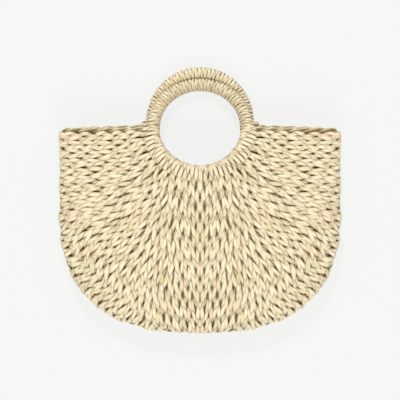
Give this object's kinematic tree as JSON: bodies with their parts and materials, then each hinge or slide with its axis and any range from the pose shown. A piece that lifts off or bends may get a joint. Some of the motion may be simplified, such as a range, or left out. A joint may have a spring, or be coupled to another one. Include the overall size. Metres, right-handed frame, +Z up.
{
  "type": "straw basket bag",
  "caption": "Half-moon straw basket bag with round wound handles on the front and back panels, lying on its back.",
  "frame": {"origin": "on the surface that the bag lies on, under the middle of its outline", "axes": "+X to the right across the bag's width, +Y from the bottom towards the handles, +Z up from the surface, out of the front panel"},
  "size_m": [0.4004, 0.3796, 0.0784],
  "materials": {
    "panel_straw": "matte looped paper straw cord",
    "handle_straw": "matte paper straw cord wound round a core",
    "binding_straw": "matte paper straw cord in wide wraps"
  },
  "bodies": {
    "root": {"front_panel": "panel_straw", "back_panel": "panel_straw", "side_seam": "panel_straw", "front_handle": "handle_straw", "back_handle": "handle_straw", "front_binding": "binding_straw", "back_binding": "binding_straw", "front_rim_left": "panel_straw", "front_rim_right": "panel_straw", "back_rim_left": "panel_straw", "back_rim_right": "panel_straw"}
  },
  "joints": []
}
